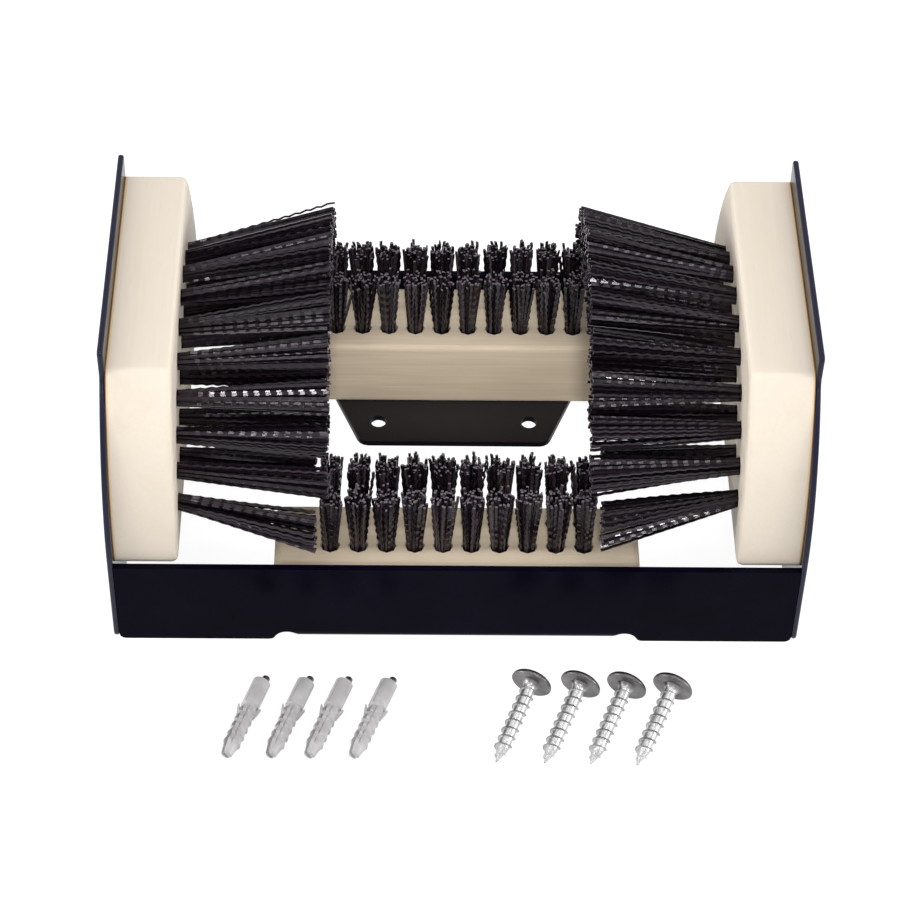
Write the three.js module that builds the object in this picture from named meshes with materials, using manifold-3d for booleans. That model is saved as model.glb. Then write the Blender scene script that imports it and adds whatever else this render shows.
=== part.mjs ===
// Boot scraper: a powder-coated sheet steel frame that carries four wooden brush blocks with nylon tufts,
// and the four screws and wall plugs that fasten it to the ground, which lie in front of it.
// Millimetres, +Z up. The scraper is built about its own centre on the floor, with the front at -Y, and the
// whole set is then moved so that the origin is under the middle of its bounding box.

import * as THREE from 'three';
import { mergeVertices } from 'three/addons/utils/BufferGeometryUtils.js';
import Module from 'manifold-3d';

const wasm = await Module();
wasm.setup();

// Clearance between two pieces that fit each other
const fitGap = 0.3;

// Steel frame: end plates
const frameWidth = 295;
const frameDepth = 184.8;
const frameHeight = 142.3;
const plateThickness = 2.5;
const plateArchRadius = 119;
const plateFootRadius = 3.5;
const tabWidth = 122;
const tabRise = 15.1;
const tabFlare = 0.8;
const tabCornerRadius = 2;
const tabFilletRadius = 4.5;

// Steel frame: rails, each with a tongue bent inwards at its foot
const railHeight = 45.4;
const railThickness = 3;
const railCornerRadius = 2.8;
const bendRadius = 5;
const tongueReach = 69.3;
const tongueEdgeWidth = 86.1;
const tongueRootWidth = 134.6;
const tongueFlareLength = 60;
const tongueCornerRadius = 5.5;
const notchRadius = 5.7;
const notchHeight = 4.8;
const notchLipRadius = 2.5;
const mountingHoleDiameter = 7.2;
const mountingHoleSpacing = 69.5;
const mountingHoleEdge = 12.7;

// Bottom brush blocks
const bottomBlockLength = 156;
const bottomBlockDepth = 40.8;
const bottomBlockHeight = 35;
const blockEdgeRadius = 2.4;
const blockCornerRadius = 3.2;
const frontRowShift = 3.7;
const rearRowShift = 0.3;

// Side brush blocks
const sideBlockThickness = 27;
const sideBlockBelowTab = 11.3;
const sideBlockLap = 2.4;
const sideBlockSideGap = 1.6;
const sideBlockFootRise = 3.7;
const sideBlockArchRadius = 140;

// Tufts
const tuftHoleRadius = 3.95;
const strandsAround = 4;
const strandRadius = 0.95;
const strandSides = 3;
const strandRootOffset = 1.77;
const tuftHoleSides = 8;
const backingThickness = 3;
const backingRim = 6.2;

// Bottom tufts, in two rows that lean apart
const bottomTuftLength = 35;
const bottomTuftPitch = 12.05;
const bottomTuftsPerRow = 10;
const bottomRowSpacing = 13.2;
const bottomRowLean = 3.1;
const bottomTipOffset = 3.1;

// Side tufts, in two arches that open outwards and are turned a little on the block
const sideTuftLength = 64;
const outerArchTufts = 13;
const outerArchPitchDegrees = 13;
const innerArchTufts = 8;
const innerArchPitchDegrees = 18.6;
const archTurnDegrees = 1.65;
const archCentreRise = 6.6;
const archRimSide = 17.8;
const archRimTop = 14.4;
const archRowSpacing = 16;
const tuftSpread = 14;
const sideTipOffset = 6;
const lowTuftDroop = 4;
const lowTuftLean = 4;
const tipClearance = 1.2;

// Countersunk screws that hold the blocks
const blockScrewHeadDiameter = 8;
const blockScrewHeadHeight = 2.2;
const blockScrewDiameter = 4;
const blockScrewLength = 20;
const blockScrewPointLength = 4;
const blockScrewSocketDepth = 1.4;
const blockScrewSocketWidth = 4.4;
const blockScrewSocketSlot = 1;
const sideScrewSpacing = 56;
const sideScrewRise = 17;
const bottomScrewPitches = 6;

// Loose mounting screws
const screwHeadDiameter = 17.7;
const screwHeadHeight = 4.2;
const screwHeadEdge = 0.7;
const screwShankDiameter = 6.2;
const screwThreadDiameter = 7.4;
const screwNeckLength = 1.6;
const screwLength = 40;
const screwPointLength = 7;
const screwPointDiameter = 0.8;
const screwSocketWidth = 7;
const screwSocketSlot = 1.8;
const screwSocketDepth = 2.4;

// Loose wall plugs, each with a pin in its mouth
const plugLength = 42;
const plugDiameter = 7.8;
const plugSleeveLength = 14;
const plugRibs = 5;
const plugRibPitch = 4;
const plugRibDepth = 0.45;
const plugNoseDiameter = 4.6;
const plugSlitWidth = 1.3;
const plugSlitLength = 22;
const plugWingSpan = 10.4;
const plugWingLength = 6;
const plugWingThickness = 1.6;
const pinDiameter = 3.4;
const pinOffset = 1;
const pinDepth = 12;
const pinProtrusion = 3.2;

// Where the loose pieces lie: x of each head or mouth, its distance in front of the rail, and its turn
// in degrees
const screwPlaces = [
  [31.4, 31.2, 22.6],
  [52.1, 31.9, 23.4],
  [71.6, 32.4, 23.9],
  [91.1, 32.8, 24.3],
];
const plugPlaces = [
  [-82.7, 27.2, 19],
  [-64, 27.3, 19.5],
  [-47.6, 27.4, 20],
  [-28.8, 27.5, 20.5],
];

// Rounding of curves, and the height under which a triangle counts as flat
const arcSteps = 12;
const boreSides = 24;
const filletSteps = 3;
const flatTriangle = 0.0005;

const steel = { color: 0x16151d, roughness: 0.34, metalness: 0.35 };
const beech = { color: 0xd9bb8c, roughness: 0.62, metalness: 0 };
const bristleNylon = { color: 0x2b2730, roughness: 0.45, metalness: 0 };
const zinc = { color: 0xb9bac0, roughness: 0.3, metalness: 0.95 };
const plugNylon = { color: 0xb6b4b6, roughness: 0.5, metalness: 0 };
const pinSteel = { color: 0x3a3a3e, roughness: 0.4, metalness: 0.8 };

const axisX = new THREE.Vector3(1, 0, 0);
const axisY = new THREE.Vector3(0, 1, 0);
const axisZ = new THREE.Vector3(0, 0, 1);

// Exact turns: an outline's x, y and depth become these directions
const depthAlongX = new THREE.Matrix4().makeBasis(axisY, axisZ, axisX);
const depthAlongY = new THREE.Matrix4().makeBasis(axisX, axisZ, axisY.clone().negate());
const halfTurn = new THREE.Matrix4().makeBasis(axisX.clone().negate(), axisY.clone().negate(), axisZ);

function solid(geometry) {
  const bare = geometry.clone();
  bare.deleteAttribute('normal');
  bare.deleteAttribute('uv');
  const merged = mergeVertices(bare);
  const corners = merged.index.array;
  const triangles = [];
  for (let first = 0; first < corners.length; first += 3) {
    const [a, b, c] = corners.slice(first, first + 3);
    if (a !== b && b !== c && c !== a) triangles.push(a, b, c);
  }
  const vertProperties = new Float32Array(merged.attributes.position.array);
  const triVerts = new Uint32Array(triangles);
  return new wasm.Manifold(new wasm.Mesh({ numProp: 3, vertProperties, triVerts }));
}

// Where booleans leave three corners in line, the flat triangle and the one across its long side swap
// diagonals
function flipFlatTriangles(positions, corners) {
  const at = (corner) => new THREE.Vector3().fromArray(positions, 3 * corner);
  const owners = new Map();
  const own = (first) => {
    for (let side = 0; side < 3; side++) {
      owners.set(`${corners[first + side]} ${corners[first + ((side + 1) % 3)]}`, first);
    }
  };
  for (let first = 0; first < corners.length; first += 3) own(first);
  for (let first = 0; first < corners.length; first += 3) {
    const turns = [0, 1, 2].map((side) => [0, 1, 2].map((step) => corners[first + ((side + step) % 3)]));
    const lengthOf = ([from, to]) => at(from).distanceTo(at(to));
    const [a, b, c] = turns.sort((left, right) => lengthOf(right) - lengthOf(left))[0];
    const twiceArea = at(b).sub(at(a)).cross(at(c).sub(at(a))).length();
    if (twiceArea > flatTriangle * lengthOf([a, b])) continue;
    const across = owners.get(`${b} ${a}`);
    const d = [0, 1, 2].map((side) => corners[across + side]).find((corner) => corner !== a && corner !== b);
    corners.set([b, c, d], first);
    corners.set([c, a, d], across);
    own(first);
    own(across);
  }
}

function geometryOf(body) {
  const { vertProperties, triVerts } = body.getMesh();
  flipFlatTriangles(vertProperties, triVerts);
  const geometry = new THREE.BufferGeometry();
  geometry.setAttribute('position', new THREE.BufferAttribute(vertProperties, 3));
  geometry.setIndex(new THREE.BufferAttribute(triVerts, 1));
  geometry.computeVertexNormals();
  return geometry;
}

// A closed outline with its corners rounded: each corner is [x, y, radius], the radius 0 where it is
// left out
function outline(corners) {
  const points = [];
  corners.forEach(([x, y, radius = 0], index) => {
    const corner = new THREE.Vector2(x, y);
    if (radius === 0) {
      points.push(corner);
      return;
    }
    const [beforeX, beforeY] = corners[(index + corners.length - 1) % corners.length];
    const [afterX, afterY] = corners[(index + 1) % corners.length];
    const back = new THREE.Vector2(beforeX - x, beforeY - y).normalize();
    const ahead = new THREE.Vector2(afterX - x, afterY - y).normalize();
    const half = Math.acos(THREE.MathUtils.clamp(back.dot(ahead), -1, 1)) / 2;
    const centre = back.clone().add(ahead).normalize().multiplyScalar(radius / Math.sin(half)).add(corner);
    const start = back.clone().multiplyScalar(radius / Math.tan(half)).add(corner).sub(centre);
    const end = ahead.clone().multiplyScalar(radius / Math.tan(half)).add(corner).sub(centre);
    const sweep = Math.atan2(start.cross(end), start.dot(end));
    for (let step = 0; step <= filletSteps; step++) {
      points.push(start.clone().rotateAround(new THREE.Vector2(), (sweep * step) / filletSteps).add(centre));
    }
  });
  return new THREE.Shape(points);
}

function arcPoints(centreX, centreY, radiusX, radiusY, from, to, steps) {
  return Array.from({ length: steps + 1 }, (_, step) => {
    const angle = from + ((to - from) * step) / steps;
    return [centreX + radiusX * Math.cos(angle), centreY + radiusY * Math.sin(angle)];
  });
}

const mirrored = (corners) => corners.map(([x, y, radius]) => [-x, y, radius]).reverse();

// A sheet or block of the outline, from one level to the other along X, Y or Z
function prism(shape, from, to, turn) {
  const geometry = new THREE.ExtrudeGeometry(shape, { depth: to - from, bevelEnabled: false });
  geometry.translate(0, 0, from);
  if (turn) geometry.applyMatrix4(turn);
  return geometry;
}

// The same with its edges rounded at both ends
function roundedPrism(shape, from, to, radius, turn) {
  const geometry = new THREE.ExtrudeGeometry(shape, {
    depth: to - from - 2 * radius,
    bevelThickness: radius,
    bevelSize: radius,
    bevelOffset: -radius,
    bevelSegments: 2,
  });
  geometry.translate(0, 0, from + radius);
  if (turn) geometry.applyMatrix4(turn);
  return geometry;
}

// Tapered rods between pairs of points, with their end faces square to across and up, as one geometry
function rods(list, sides, across, up) {
  const positions = [];
  const index = [];
  for (const { root, tip, rootRadius, tipRadius } of list) {
    const first = positions.length / 3;
    for (const [centre, radius] of [[root, rootRadius], [tip, tipRadius]]) {
      for (let side = 0; side < sides; side++) {
        const angle = (2 * Math.PI * side) / sides;
        const point = centre.clone();
        point.addScaledVector(across, radius * Math.cos(angle));
        point.addScaledVector(up, radius * Math.sin(angle));
        positions.push(...point);
      }
    }
    for (let side = 0; side < sides; side++) {
      const next = (side + 1) % sides;
      index.push(first + side, first + next, first + sides + next);
      index.push(first + side, first + sides + next, first + sides + side);
    }
    for (let side = 1; side < sides - 1; side++) {
      index.push(first, first + side + 1, first + side);
      index.push(first + sides, first + sides + side, first + sides + side + 1);
    }
  }
  const geometry = new THREE.BufferGeometry();
  geometry.setAttribute('position', new THREE.Float32BufferAttribute(positions, 3));
  geometry.setIndex(index);
  return geometry;
}

// A turned body about +Z from [radius, z] pairs that start and end on the axis
function turned(profile, sides) {
  const points = profile.map(([radius, z]) => new THREE.Vector2(radius, z));
  return new THREE.LatheGeometry(points, sides).rotateX(Math.PI / 2);
}

function piece(name, geometry, look) {
  const mesh = new THREE.Mesh(geometry, new THREE.MeshStandardMaterial(look));
  mesh.name = name;
  return mesh;
}

// Places that several pieces share
const halfDepth = frameDepth / 2;
const plateInner = frameWidth / 2 - plateThickness;
const railInner = halfDepth - railThickness;
const tongueEdge = halfDepth - tongueReach;
const mountingHoleX = mountingHoleSpacing / 2;
const mountingHoleY = tongueEdge + mountingHoleEdge;
const archTop = frameHeight - tabRise;
const archCentreY = halfDepth - plateArchRadius;
const archFoot = archTop - Math.sqrt(plateArchRadius ** 2 - (tabWidth / 2 - archCentreY) ** 2);

const sideBlockFace = plateInner - sideBlockThickness;
const sideBlockHalf = railInner - sideBlockSideGap;
const sideBlockTop = frameHeight - sideBlockBelowTab;
const sideBlockBottom = railHeight - sideBlockLap;

const bottomBlockBase = railThickness;
const bottomBlockTop = bottomBlockBase + bottomBlockHeight;
const bottomBlockBack = railInner - fitGap;
const bottomBlockMiddle = bottomBlockBack - bottomBlockDepth / 2;
const bottomTuftTop = bottomBlockTop + bottomTuftLength;
const bottomRowHalf = ((bottomTuftsPerRow - 1) * bottomTuftPitch) / 2;

const sideScrewY = sideScrewSpacing / 2;
const sideScrewZ = sideBlockBottom + sideScrewRise;
const bottomScrewX = (bottomScrewPitches * bottomTuftPitch) / 2;

// Countersunk screw: head flush at z = 0, point towards +Z. Swollen by the clearance it is its own hole.
function blockScrewProfile(swell) {
  const head = blockScrewHeadDiameter / 2 + swell;
  const shank = blockScrewDiameter / 2 + swell;
  const end = blockScrewLength + swell;
  return [
    [0, -swell],
    [head, -swell],
    [head, 0],
    [shank, blockScrewHeadHeight],
    [shank, end - blockScrewPointLength],
    [0, end],
  ];
}

function crossSocket(width, slot, depth, top) {
  const arm = (x, y) => solid(new THREE.BoxGeometry(x, y, 2 * depth).translate(0, 0, top));
  return arm(width, slot).add(arm(slot, width));
}

function blockScrew(name, x, y, z, turnY) {
  const body = solid(turned(blockScrewProfile(0), 12)).subtract(
    crossSocket(blockScrewSocketWidth, blockScrewSocketSlot, blockScrewSocketDepth, 0),
  );
  const mesh = piece(name, geometryOf(body), zinc);
  mesh.position.set(x, y, z);
  mesh.rotation.y = turnY;
  return mesh;
}

function screwHole(x, y, z, turnY) {
  const hole = turned(blockScrewProfile(fitGap), 12);
  hole.rotateY(turnY).translate(x, y, z);
  return solid(hole);
}

const sideScrews = [-sideScrewY, sideScrewY].map((y) => [frameWidth / 2, y, sideScrewZ, -Math.PI / 2]);
const bottomScrews = (y) => [-bottomScrewX, bottomScrewX].map((x) => [x, y, 0, 0]);

const withoutHoles = (body, holes) => holes.reduce((left, hole) => left.subtract(screwHole(...hole)), body);

// End plate: straight foot, arched shoulder and a raised tab with a fillet at its root
function endPlate() {
  const shoulder = arcPoints(
    archCentreY,
    archFoot,
    plateArchRadius,
    plateArchRadius,
    0,
    Math.atan2(archTop - archFoot, tabWidth / 2 - archCentreY),
    arcSteps,
  );
  shoulder[arcSteps].push(tabFilletRadius);
  const half = [
    [halfDepth, 0, plateFootRadius],
    ...shoulder,
    [tabWidth / 2 + tabFlare, frameHeight, tabCornerRadius],
  ];
  const sheet = prism(outline([...half, ...mirrored(half)]), plateInner, frameWidth / 2, depthAlongX);
  return withoutHoles(solid(sheet), sideScrews);
}

// A cylinder that starts at the origin and runs along the outline's depth
function bore(radius, reach, turn) {
  const corners = arcPoints(0, 0, radius, radius, 0, 2 * Math.PI, boreSides).slice(1);
  return prism(outline(corners), 0, reach, turn);
}

// Rear rail: an upright strip whose middle bends forwards at the foot into a flared tongue
function rail(rowY) {
  const notchX = tongueRootWidth / 2 + notchRadius;
  const notchZ = notchHeight - notchRadius;
  const lipX = notchX + Math.sqrt((notchRadius + notchLipRadius) ** 2 - (notchLipRadius - notchZ) ** 2);
  const lipAngle = Math.atan2(notchLipRadius - notchZ, lipX - notchX);
  const stripHalf = [
    [plateInner, railHeight],
    [plateInner, 0, railCornerRadius],
    ...arcPoints(lipX, notchLipRadius, notchLipRadius, notchLipRadius, -Math.PI / 2, lipAngle - Math.PI, 3),
    ...arcPoints(notchX, notchZ, notchRadius, notchRadius, lipAngle, Math.PI / 2, 5).slice(1),
    [notchX, bendRadius],
  ];
  const strip = prism(outline([...stripHalf, ...mirrored(stripHalf)]), -halfDepth, -railInner, depthAlongY);

  const bendY = halfDepth - bendRadius;
  const innerBend = bendRadius - railThickness;
  const section = [
    [halfDepth, 2 * bendRadius],
    ...arcPoints(bendY, bendRadius, bendRadius, bendRadius, 0, -Math.PI / 2, 5),
    [tongueEdge - 1, 0],
    [tongueEdge - 1, railThickness],
    ...arcPoints(bendY, bendRadius, innerBend, innerBend, -Math.PI / 2, 0, 3),
    [railInner, 2 * bendRadius],
  ];
  const bent = prism(outline(section), -notchX, notchX, depthAlongX);
  const planHalf = [
    [tongueEdgeWidth / 2, tongueEdge, tongueCornerRadius],
    [tongueRootWidth / 2, tongueEdge + tongueFlareLength],
    [tongueRootWidth / 2, bendY],
    [notchX, bendY],
    [notchX, halfDepth + 1],
  ];
  const plan = prism(outline([...planHalf, ...mirrored(planHalf)]), -1, 3 * bendRadius);
  let body = solid(bent).intersect(solid(plan)).add(solid(strip));
  for (const side of [-1, 1]) {
    const notch = bore(notchRadius, tongueReach + 1, depthAlongY);
    notch.translate(side * notchX, halfDepth + 1, notchZ);
    const hole = bore(mountingHoleDiameter / 2, railThickness + 2);
    hole.translate(side * mountingHoleX, mountingHoleY, -1);
    body = body.subtract(solid(notch)).subtract(solid(hole));
  }
  return withoutHoles(body, bottomScrews(rowY));
}

// One tuft: a strand in the middle and others around it, spreading from the root to the tip
function tuft(root, tip, tipOffset, across, up) {
  const strand = (rootPoint, tipPoint) => ({
    root: rootPoint,
    tip: tipPoint,
    rootRadius: strandRadius,
    tipRadius: strandRadius,
  });
  const strands = [strand(root, tip)];
  for (let number = 0; number < strandsAround; number++) {
    const angle = (2 * Math.PI * (number + 0.5)) / strandsAround;
    const away = across.clone().multiplyScalar(Math.cos(angle)).addScaledVector(up, Math.sin(angle));
    const rootPoint = root.clone().addScaledVector(away, strandRootOffset);
    const tipPoint = tip.clone().addScaledVector(away, tipOffset);
    strands.push(strand(rootPoint, tipPoint));
  }
  return strands;
}

// A tuft's line is given by its place on the block's face and its tip. Its root lies in the backing, as far
// behind the face as the backing is, and its hole runs along the same line.
function rootOf(face, tip, depth, along) {
  const away = tip.clone().sub(face);
  const rise = Math.abs(away.dot(along));
  return face.clone().addScaledVector(away, -depth / rise);
}

function tuftHoles(tufts, depth, along, across, up) {
  const radius = tuftHoleRadius / Math.cos(Math.PI / tuftHoleSides);
  const list = tufts.map(({ face, tip }) => ({
    root: rootOf(face, tip, depth, along),
    tip: rootOf(face, tip, -1, along),
    rootRadius: radius,
    tipRadius: radius,
  }));
  return solid(rods(list, tuftHoleSides, across, up));
}

function tuftStrands(tufts, depth, tipOffset, along, across, up) {
  const list = tufts.flatMap(({ face, tip }) => {
    const root = rootOf(face, tip, depth, along);
    return tuft(root, tip, tipOffset, across, up);
  });
  return solid(rods(list, strandSides, across, up));
}

// Side tufts of the right block: two arches over the middle of its face
function sideTufts() {
  const centreZ = sideBlockBottom + archCentreRise;
  const outerY = sideBlockHalf - archRimSide;
  const outerZ = sideBlockTop - archRimTop - centreZ;
  const arches = [
    {
      count: outerArchTufts,
      pitch: outerArchPitchDegrees,
      radiusY: outerY,
      radiusZ: outerZ,
    },
    {
      count: innerArchTufts,
      pitch: innerArchPitchDegrees,
      radiusY: outerY - archRowSpacing,
      radiusZ: outerZ - archRowSpacing,
    },
  ];
  return arches.flatMap(({ count, pitch, radiusY, radiusZ }) =>
    Array.from({ length: count }, (_, number) => {
      const place = (number - (count - 1) / 2) * pitch;
      const angle = THREE.MathUtils.degToRad(90 - archTurnDegrees + place);
      const y = Math.cos(angle);
      const z = Math.sin(angle);
      const face = new THREE.Vector3(sideBlockFace, radiusY * y, centreZ + radiusZ * z);
      const tip = face.clone().add(new THREE.Vector3(-sideTuftLength, tuftSpread * y, tuftSpread * z));
      const lowest = count === outerArchTufts && (number === 0 || number === count - 1);
      if (lowest) {
        tip.y += Math.sign(y) * lowTuftLean;
        tip.z -= lowTuftDroop;
      }
      // Where a tip would run into the bottom tufts it is trimmed beside them
      if (tip.z - sideTipOffset - strandRadius < bottomTuftTop) {
        const trimmed = bottomRowHalf + bottomTipOffset + strandRadius + tipClearance;
        const share = (face.x - trimmed) / (face.x - tip.x);
        if (share < 1) tip.lerpVectors(face, tip.clone(), share);
      }
      return { face, tip };
    }),
  );
}

const sideBlockHalfOutline = () => {
  const centreY = sideBlockHalf - sideBlockArchRadius;
  const foot = sideBlockBottom + sideBlockFootRise;
  const rise = sideBlockTop - foot;
  const shoulder = arcPoints(
    centreY,
    foot,
    sideBlockArchRadius,
    sideBlockArchRadius,
    0,
    Math.asin(rise / sideBlockArchRadius),
    arcSteps,
  );
  shoulder[arcSteps].push(blockCornerRadius);
  return [[sideBlockHalf, sideBlockBottom, blockCornerRadius], ...shoulder];
};

// The backing of the side tufts is an arch let into the back of the block, clear of the screws
function sideBacking(swell) {
  const centreZ = sideBlockBottom + archCentreRise;
  const back = sideBlockThickness / sideTuftLength;
  const shift = tuftSpread * back;
  const outerY = sideBlockHalf - archRimSide - shift + backingRim + swell;
  const outerZ = sideBlockTop - archRimTop - centreZ - shift + backingRim + swell;
  const innerY = outerY - archRowSpacing - 2 * (backingRim + swell);
  const innerZ = outerZ - archRowSpacing - 2 * (backingRim + swell);
  const reach = ((outerArchTufts - 1) / 2) * outerArchPitchDegrees + archTurnDegrees;
  const from = THREE.MathUtils.degToRad(90 - reach) - (backingRim + swell) / outerY;
  const band = [
    ...arcPoints(0, centreZ, outerY, outerZ, from, Math.PI - from, 18),
    ...arcPoints(0, centreZ, innerY, innerZ, Math.PI - from, from, 14),
  ];
  const shape = outline(band);
  return solid(prism(shape, plateInner - backingThickness, plateInner, depthAlongX));
}

function sideBlock() {
  const half = sideBlockHalfOutline();
  const shape = outline([...half, ...mirrored(half)]);
  // Only the face's edges are rounded: the back keeps its sawn edges, flat against the plate
  const back = plateInner + blockEdgeRadius;
  const thick = roundedPrism(shape, sideBlockFace, back, blockEdgeRadius, depthAlongX);
  const body = solid(thick).trimByPlane([-1, 0, 0], -plateInner);
  const depth = sideBlockThickness - backingThickness / 2;
  const bored = body.subtract(tuftHoles(sideTufts(), depth, axisX, axisZ, axisY));
  return withoutHoles(bored.subtract(sideBacking(fitGap)), sideScrews);
}

function sideBristles() {
  const depth = sideBlockThickness - backingThickness / 2;
  const strands = tuftStrands(sideTufts(), depth, sideTipOffset, axisX, axisZ, axisY);
  return withoutHoles(sideBacking(0).add(strands), sideScrews);
}

// Rear bottom tufts: two straight rows that lean apart
function bottomTufts(rowY) {
  const half = bottomRowSpacing / 2;
  return [-1, 1].flatMap((row) =>
    Array.from({ length: bottomTuftsPerRow }, (_, number) => {
      const x = number * bottomTuftPitch - bottomRowHalf;
      const face = new THREE.Vector3(x, rowY + row * half, bottomBlockTop);
      const tip = new THREE.Vector3(x, rowY + row * (half + bottomRowLean), bottomTuftTop);
      return { face, tip };
    }),
  );
}

function bottomBacking(rowY, swell) {
  const halfX = bottomRowHalf + backingRim + swell;
  const halfY = bottomRowSpacing / 2 + backingRim + swell;
  const shape = outline([
    [-halfX, rowY - halfY],
    [halfX, rowY - halfY],
    [halfX, rowY + halfY],
    [-halfX, rowY + halfY],
  ]);
  return solid(prism(shape, bottomBlockBase, bottomBlockBase + backingThickness));
}

function bottomBlock(rowY) {
  const halfX = bottomBlockLength / 2;
  const front = bottomBlockBack - bottomBlockDepth;
  const shape = outline([
    [-halfX, front, blockCornerRadius],
    [halfX, front, blockCornerRadius],
    [halfX, bottomBlockBack, blockCornerRadius],
    [-halfX, bottomBlockBack, blockCornerRadius],
  ]);
  const body = solid(roundedPrism(shape, bottomBlockBase, bottomBlockTop, blockEdgeRadius));
  const depth = bottomBlockHeight - backingThickness / 2;
  const bored = body.subtract(tuftHoles(bottomTufts(rowY), depth, axisZ, axisX, axisY));
  return withoutHoles(bored.subtract(bottomBacking(rowY, fitGap)), bottomScrews(rowY));
}

function bottomBristles(rowY) {
  const depth = bottomBlockHeight - backingThickness / 2;
  const strands = tuftStrands(bottomTufts(rowY), depth, bottomTipOffset, axisZ, axisX, axisY);
  return withoutHoles(bottomBacking(rowY, 0).add(strands), bottomScrews(rowY));
}

// Loose screw: low wide head behind z = 0, shank and point towards +Z
function mountingScrew(name, [x, ahead, turn]) {
  const head = screwHeadDiameter / 2;
  const shank = screwShankDiameter / 2;
  const dome = arcPoints(0, -screwHeadEdge, head, screwHeadHeight - screwHeadEdge, -Math.PI / 2, 0, 4);
  const profile = [
    ...dome,
    [head, 0],
    [shank + 1, 0],
    [shank, screwNeckLength],
    [shank, screwLength - screwPointLength],
    [screwPointDiameter / 2, screwLength],
    [0, screwLength],
  ];
  profile[0][0] = 0;
  const socket = crossSocket(screwSocketWidth, screwSocketSlot, screwSocketDepth, -screwHeadHeight);
  const body = solid(turned(profile, 16)).subtract(socket);
  const mesh = piece(name, geometryOf(body), zinc);
  // It rests on its head's rim and on the end of its thread
  const tilt = Math.atan2(head - screwThreadDiameter / 2, screwLength - screwPointLength);
  lay(mesh, x, -halfDepth - ahead, head * Math.cos(tilt), turn, tilt);
  return mesh;
}

// Lays a piece down with its +Z towards the front, turned sideways and tipped down
function lay(mesh, x, y, z, turnDegrees, tilt) {
  mesh.rotation.order = 'ZXY';
  mesh.rotation.set(Math.PI / 2 + tilt, 0, -THREE.MathUtils.degToRad(turnDegrees));
  mesh.position.set(x, y, z);
}

// Wall plug: plain sleeve at the mouth, ribbed and slit body with two wings, short nose
function plugBody() {
  const radius = plugDiameter / 2;
  const ribStart = plugSleeveLength;
  const ribs = Array.from({ length: plugRibs }, (_, rib) => [
    [radius - plugRibDepth, ribStart + rib * plugRibPitch + 0.5],
    [radius, ribStart + (rib + 1) * plugRibPitch],
  ]).flat();
  const profile = [
    [0, 0],
    [radius, 0],
    [radius, ribStart],
    ...ribs,
    [plugNoseDiameter / 2, plugLength],
    [0, plugLength],
  ];
  const wing = (side) => {
    const reach = (side * plugWingSpan) / 2;
    const shape = outline([
      [0, ribStart + 1],
      [0, ribStart + plugWingLength],
      [side * (radius - plugRibDepth), ribStart + plugWingLength],
      [reach, ribStart],
      [side * radius, ribStart + 1],
    ]);
    return solid(prism(shape, -plugWingThickness / 2, plugWingThickness / 2, depthAlongY));
  };
  const slit = new THREE.BoxGeometry(plugSlitWidth, plugDiameter + 2, plugSlitLength);
  slit.translate(0, 0, plugSleeveLength + 2 + plugSlitLength / 2);
  slit.rotateZ(THREE.MathUtils.degToRad(43));
  const boreRadius = pinDiameter / 2 + fitGap;
  const boreEnd = pinDepth + fitGap;
  const bore = turned([[0, -1], [boreRadius, -1], [boreRadius, boreEnd], [0, boreEnd]], 10);
  bore.translate(pinOffset, 0, 0);
  return solid(turned(profile, 12)).add(wing(1)).add(wing(-1)).subtract(solid(slit)).subtract(solid(bore));
}

function wallPlug(name, [x, ahead, turn]) {
  const mesh = piece(name, geometryOf(plugBody()), plugNylon);
  lay(mesh, x, -halfDepth - ahead, plugDiameter / 2, turn, 0);
  return mesh;
}

function plugPin(name, [x, ahead, turn]) {
  const radius = pinDiameter / 2;
  const pin = turned([[0, -pinProtrusion], [radius, -pinProtrusion], [radius, pinDepth], [0, pinDepth]], 10);
  pin.translate(pinOffset, 0, 0);
  const mesh = piece(name, geometryOf(solid(pin)), pinSteel);
  lay(mesh, x, -halfDepth - ahead, plugDiameter / 2, turn, 0);
  return mesh;
}

// Assembly. Right-hand and rear pieces are built first, and left-hand and front ones are their half turns.
const built = (name, body, look, turned180) => {
  const geometry = geometryOf(body);
  if (turned180) geometry.applyMatrix4(halfTurn);
  return piece(name, geometry, look);
};

const rearRowY = bottomBlockMiddle - rearRowShift;
const frontRowY = bottomBlockMiddle - frontRowShift;

const scraper = new THREE.Group();
scraper.add(
  built('left_end_plate', endPlate(), steel, true),
  built('right_end_plate', endPlate(), steel, false),
  built('front_rail', rail(frontRowY), steel, true),
  built('rear_rail', rail(rearRowY), steel, false),
  built('left_brush_block', sideBlock(), beech, true),
  built('right_brush_block', sideBlock(), beech, false),
  built('front_brush_block', bottomBlock(frontRowY), beech, true),
  built('rear_brush_block', bottomBlock(rearRowY), beech, false),
  built('left_bristles', sideBristles(), bristleNylon, true),
  built('right_bristles', sideBristles(), bristleNylon, false),
  built('front_bristles', bottomBristles(frontRowY), bristleNylon, true),
  built('rear_bristles', bottomBristles(rearRowY), bristleNylon, false),
);

sideScrews.forEach(([x, y, z, turn], number) => {
  scraper.add(blockScrew(`left_block_screw_${number + 1}`, -x, -y, z, -turn));
  scraper.add(blockScrew(`right_block_screw_${number + 1}`, x, y, z, turn));
});
bottomScrews(0).forEach(([x], number) => {
  scraper.add(blockScrew(`front_block_screw_${number + 1}`, x, -frontRowY, 0, 0));
  scraper.add(blockScrew(`rear_block_screw_${number + 1}`, x, rearRowY, 0, 0));
});

const fixings = new THREE.Group();
screwPlaces.forEach((place, number) => fixings.add(mountingScrew(`mounting_screw_${number + 1}`, place)));
plugPlaces.forEach((place, number) => {
  fixings.add(wallPlug(`wall_plug_${number + 1}`, place));
  fixings.add(plugPin(`plug_pin_${number + 1}`, place));
});

const set = new THREE.Group();
set.add(scraper, fixings);
set.updateMatrixWorld(true);
const bounds = new THREE.Box3().setFromObject(set, true);
set.position.y = -(bounds.min.y + bounds.max.y) / 2;

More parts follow.
